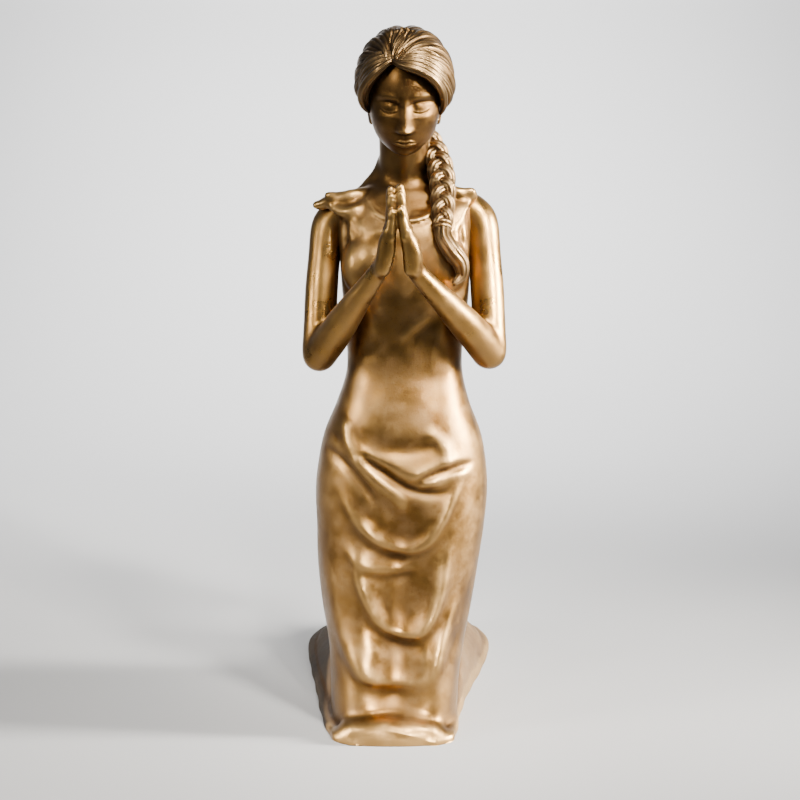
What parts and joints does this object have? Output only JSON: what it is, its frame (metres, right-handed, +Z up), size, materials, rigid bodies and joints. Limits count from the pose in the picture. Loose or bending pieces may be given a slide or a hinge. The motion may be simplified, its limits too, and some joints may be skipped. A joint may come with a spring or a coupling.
{
  "type": "kneeling praying girl statue",
  "caption": "Cast figure of a girl kneeling upright in a long gown with her hands joined in prayer and a braid over one shoulder.",
  "frame": {"origin": "on the ground under her waist, in the plane of the flat underside", "axes": "+Z up, the figure faces -Y, +X towards her left side"},
  "size_m": [0.3326, 0.6594, 1.0995],
  "materials": {
    "bronze": "golden-brown patinated bronze, satin on the raised forms and dark in the hollows"
  },
  "bodies": {
    "root": {"kneeling_girl": "bronze"}
  },
  "joints": []
}
